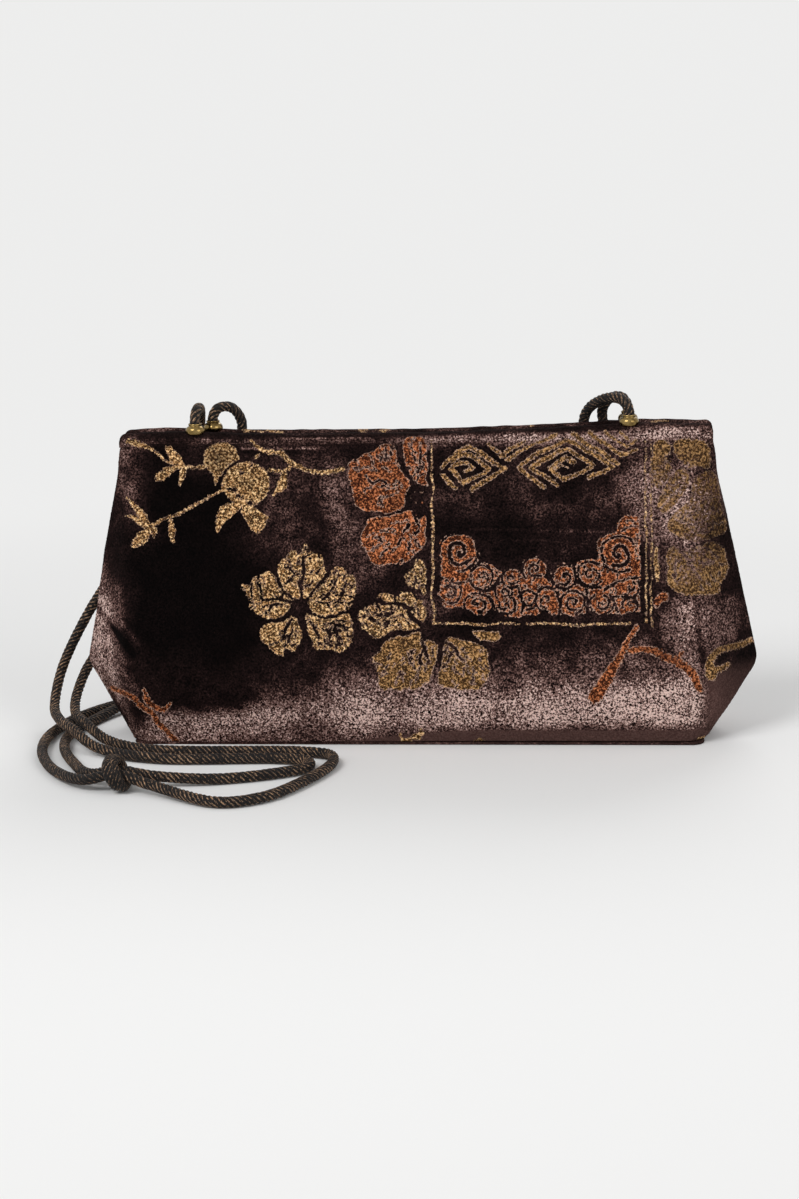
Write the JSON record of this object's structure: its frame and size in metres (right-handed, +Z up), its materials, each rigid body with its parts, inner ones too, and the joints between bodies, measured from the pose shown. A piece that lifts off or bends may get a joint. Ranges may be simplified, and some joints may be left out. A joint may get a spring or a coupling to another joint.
{
  "type": "velvet pochette",
  "caption": "Small soft evening bag of patterned velvet on a hinged frame, with a flat base and a looped strap of twisted cord.",
  "frame": {"origin": "middle of the flat base's underside", "axes": "+X along the bag's width, to the right as seen from the front; -Y is the front; +Z up from the base to the mouth"},
  "size_m": [0.288, 0.1863, 0.1365],
  "materials": {
    "velvet": "velvet, near black with a dusty mauve sheen",
    "frame_steel": "plain nickel-plated steel",
    "magnet": "nickel-plated magnet",
    "cap_brass": "aged brass, softly polished",
    "stiffener": "grey-brown fibre board",
    "lining": "dark satin",
    "cord": "twisted silky cord, dark brown with tan glints"
  },
  "bodies": {
    "bag_body": {"front_velvet_panel": "velvet", "back_velvet_panel": "velvet", "base_velvet_panel": "velvet", "back_rim_cover": "velvet", "back_frame_bar": "frame_steel", "left_hinge_pin": "frame_steel", "right_hinge_pin": "frame_steel", "back_magnet": "magnet", "back_left_cord_cap": "cap_brass", "back_right_cord_cap": "cap_brass", "back_left_cap_stud": "frame_steel", "back_right_cap_stud": "frame_steel", "front_stiffener_board": "stiffener", "back_stiffener_board": "stiffener", "base_board": "stiffener", "base_lining": "lining", "front_lining": "lining", "back_lining": "lining", "inner_slip_pocket": "lining", "front_strap_cord": "cord", "back_strap_cord": "cord", "strap_knot": "cord"},
    "front_frame_half": {"front_frame_bar": "frame_steel", "front_rim_cover": "velvet", "front_magnet": "magnet", "front_left_cord_cap": "cap_brass", "front_right_cord_cap": "cap_brass", "front_left_cap_stud": "frame_steel", "front_right_cap_stud": "frame_steel"}
  },
  "joints": [
    {"name": "frame_opening", "type": "hinge", "parent": "bag_body", "child": "front_frame_half", "pos_m": [0, 0, 0.088], "axis": [1, 0, 0], "range_deg": [0, 55], "deforming": ["front_velvet_panel", "front_lining", "front_strap_cord"]}
  ]
}
